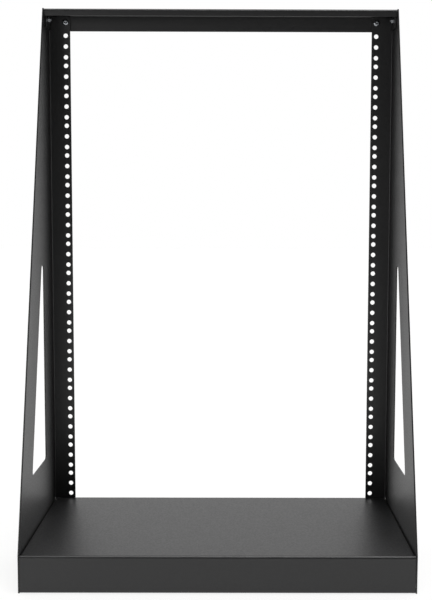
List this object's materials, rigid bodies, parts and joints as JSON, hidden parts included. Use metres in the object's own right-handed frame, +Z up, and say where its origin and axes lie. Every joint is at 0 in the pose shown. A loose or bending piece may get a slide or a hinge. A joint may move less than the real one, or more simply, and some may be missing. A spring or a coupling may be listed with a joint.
{
  "type": "two-post open frame rack",
  "caption": "Open two-post equipment rack of folded black sheet steel: slanted side frames with drilled rail flanges and a triangular cut-out, a top crossbar and a shallow base pan.",
  "frame": {"origin": "on the floor, at the centre of the footprint", "axes": "+Z up, +X to the right as seen from the front, and the front faces -Y"},
  "size_m": [0.5242, 0.2762, 0.7877],
  "materials": {
    "powder_coated_steel": "satin black powder coat",
    "zinc_plated_steel": "bright zinc plating"
  },
  "bodies": {
    "root": {"base_pan": "powder_coated_steel", "top_crossbar": "powder_coated_steel", "side_frame_left": "powder_coated_steel", "side_frame_right": "powder_coated_steel", "crossbar_rail_left_screw": "zinc_plated_steel", "crossbar_rail_left_nut": "zinc_plated_steel", "crossbar_side_left_screw": "zinc_plated_steel", "crossbar_side_left_nut": "zinc_plated_steel", "base_front_left_screw": "zinc_plated_steel", "base_front_left_nut": "zinc_plated_steel", "base_middle_left_screw": "zinc_plated_steel", "base_middle_left_nut": "zinc_plated_steel", "base_rear_left_screw": "zinc_plated_steel", "base_rear_left_nut": "zinc_plated_steel", "crossbar_rail_right_screw": "zinc_plated_steel", "crossbar_rail_right_nut": "zinc_plated_steel", "crossbar_side_right_screw": "zinc_plated_steel", "crossbar_side_right_nut": "zinc_plated_steel", "base_front_right_screw": "zinc_plated_steel", "base_front_right_nut": "zinc_plated_steel", "base_middle_right_screw": "zinc_plated_steel", "base_middle_right_nut": "zinc_plated_steel", "base_rear_right_screw": "zinc_plated_steel", "base_rear_right_nut": "zinc_plated_steel"}
  },
  "joints": []
}
